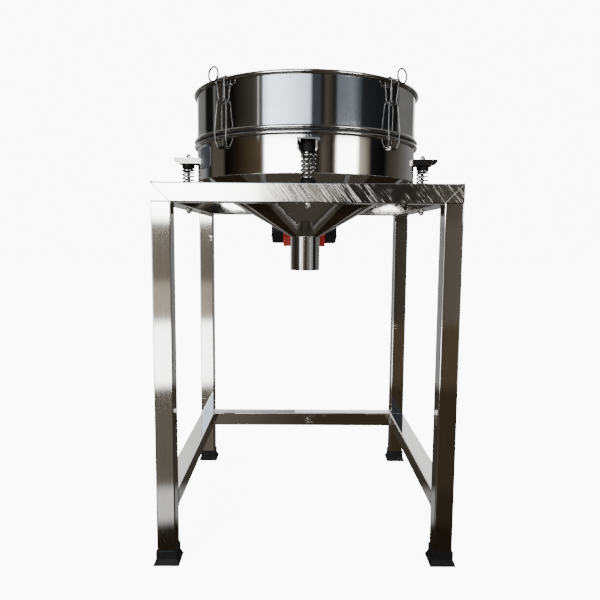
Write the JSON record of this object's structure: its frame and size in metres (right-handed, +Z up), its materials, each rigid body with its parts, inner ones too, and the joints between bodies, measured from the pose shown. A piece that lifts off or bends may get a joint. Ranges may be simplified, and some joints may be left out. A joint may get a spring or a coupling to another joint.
{
  "type": "vibrating sieve",
  "caption": "Round vibrating sieve: a latched steel drum with a wire screen and hopper cone, sprung on a tall square-tube table, shaken by an eccentric motor.",
  "frame": {"origin": "on the floor under the drum's centre", "axes": "+Z up along the drum's axis, front (the open side of the low stretchers) towards -Y, motor towards +Y"},
  "size_m": [0.624, 0.624, 1.0058],
  "materials": {
    "drum_stainless": "mirror polished stainless sheet",
    "table_stainless": "bright stainless tube, scuffed",
    "spring_wire": "bright drawn wire",
    "fastener_steel": "bright",
    "woven_wire": "woven",
    "black_rubber": "moulded",
    "gasket_rubber": "smooth",
    "motor_red": "gloss enamel",
    "motor_black": "satin",
    "black_plastic": "matte",
    "cast_iron": "machined",
    "bearing_steel": "ground"
  },
  "bodies": {
    "table": {"cap_nuts": "fastener_steel", "foot_boot_back_left": "black_rubber", "foot_boot_back_right": "black_rubber", "foot_boot_front_left": "black_rubber", "foot_boot_front_right": "black_rubber", "leg_back_left": "table_stainless", "leg_back_right": "table_stainless", "leg_front_left": "table_stainless", "leg_front_right": "table_stainless", "rail_back": "table_stainless", "rail_front": "table_stainless", "rail_left": "table_stainless", "rail_right": "table_stainless", "spring_back": "spring_wire", "spring_front": "spring_wire", "spring_left": "spring_wire", "spring_right": "spring_wire", "spring_seats": "black_rubber", "spring_studs": "fastener_steel", "stretcher_back": "table_stainless", "stretcher_left": "table_stainless", "stretcher_right": "table_stainless", "stud_nuts": "fastener_steel", "stud_washers": "fastener_steel"},
    "drum": {"bearing_shields": "motor_red", "cable_gland": "black_plastic", "hopper_cone": "drum_stainless", "latch_lugs": "drum_stainless", "lower_shell": "drum_stainless", "motor_bearings": "bearing_steel", "motor_bolts": "fastener_steel", "motor_cover_left": "motor_black", "motor_cover_right": "motor_black", "motor_housing": "motor_red", "motor_mount": "drum_stainless", "motor_stator": "cast_iron", "outlet_tube": "drum_stainless", "screen_gasket": "gasket_rubber", "screen_mesh": "woven_wire", "screen_ring": "drum_stainless", "spring_bracket_back": "drum_stainless", "spring_bracket_front": "drum_stainless", "spring_bracket_left": "drum_stainless", "spring_bracket_right": "drum_stainless", "spring_cushions": "black_rubber", "terminal_lid": "motor_red", "upper_shell": "drum_stainless"},
    "motor_rotor": {"rotor_shaft": "bearing_steel", "rotor_core": "cast_iron", "eccentric_weight_left": "cast_iron", "eccentric_weight_right": "cast_iron"},
    "latch_front_right": {"latch_frame_front_right": "spring_wire"},
    "hook_front_right": {"latch_hook_front_right": "spring_wire"},
    "latch_back_right": {"latch_frame_back_right": "spring_wire"},
    "hook_back_right": {"latch_hook_back_right": "spring_wire"},
    "latch_back_left": {"latch_frame_back_left": "spring_wire"},
    "hook_back_left": {"latch_hook_back_left": "spring_wire"},
    "latch_front_left": {"latch_frame_front_left": "spring_wire"},
    "hook_front_left": {"latch_hook_front_left": "spring_wire"}
  },
  "joints": [
    {"name": "drum_bounce", "type": "slide", "parent": "table", "child": "drum", "axis": [0, 0, 1], "range_m": [-0.004, 0], "stiffness_N_per_m": 48000, "springref_m": 0.005, "deforming": ["spring_front", "spring_right", "spring_back", "spring_left"]},
    {"name": "motor_spin", "type": "hinge", "parent": "drum", "child": "motor_rotor", "pos_m": [0, 0.211, 0.68998], "axis": [1, 0, 0], "continuous": true},
    {"name": "latch_frame_swing_front_right", "type": "hinge", "parent": "drum", "child": "latch_front_right", "pos_m": [0.17631, -0.1904, 0.848], "axis": [0.7337, 0.6794, 0], "range_deg": [0, 100]},
    {"name": "latch_hook_swing_front_right", "type": "hinge", "parent": "latch_front_right", "child": "hook_front_right", "pos_m": [0.17699, -0.19114, 0.941], "axis": [0.7337, 0.6794, 0], "range_deg": [0, 120]},
    {"name": "latch_frame_swing_back_right", "type": "hinge", "parent": "drum", "child": "latch_back_right", "pos_m": [0.17631, 0.1904, 0.848], "axis": [-0.7337, 0.6794, 0], "range_deg": [0, 100]},
    {"name": "latch_hook_swing_back_right", "type": "hinge", "parent": "latch_back_right", "child": "hook_back_right", "pos_m": [0.17699, 0.19114, 0.941], "axis": [-0.7337, 0.6794, 0], "range_deg": [0, 120]},
    {"name": "latch_frame_swing_back_left", "type": "hinge", "parent": "drum", "child": "latch_back_left", "pos_m": [-0.17631, 0.1904, 0.848], "axis": [-0.7337, -0.6794, 0], "range_deg": [0, 100]},
    {"name": "latch_hook_swing_back_left", "type": "hinge", "parent": "latch_back_left", "child": "hook_back_left", "pos_m": [-0.17699, 0.19114, 0.941], "axis": [-0.7337, -0.6794, 0], "range_deg": [0, 120]},
    {"name": "latch_frame_swing_front_left", "type": "hinge", "parent": "drum", "child": "latch_front_left", "pos_m": [-0.17631, -0.1904, 0.848], "axis": [0.7337, -0.6794, 0], "range_deg": [0, 100]},
    {"name": "latch_hook_swing_front_left", "type": "hinge", "parent": "latch_front_left", "child": "hook_front_left", "pos_m": [-0.17699, -0.19114, 0.941], "axis": [0.7337, -0.6794, 0], "range_deg": [0, 120]}
  ]
}
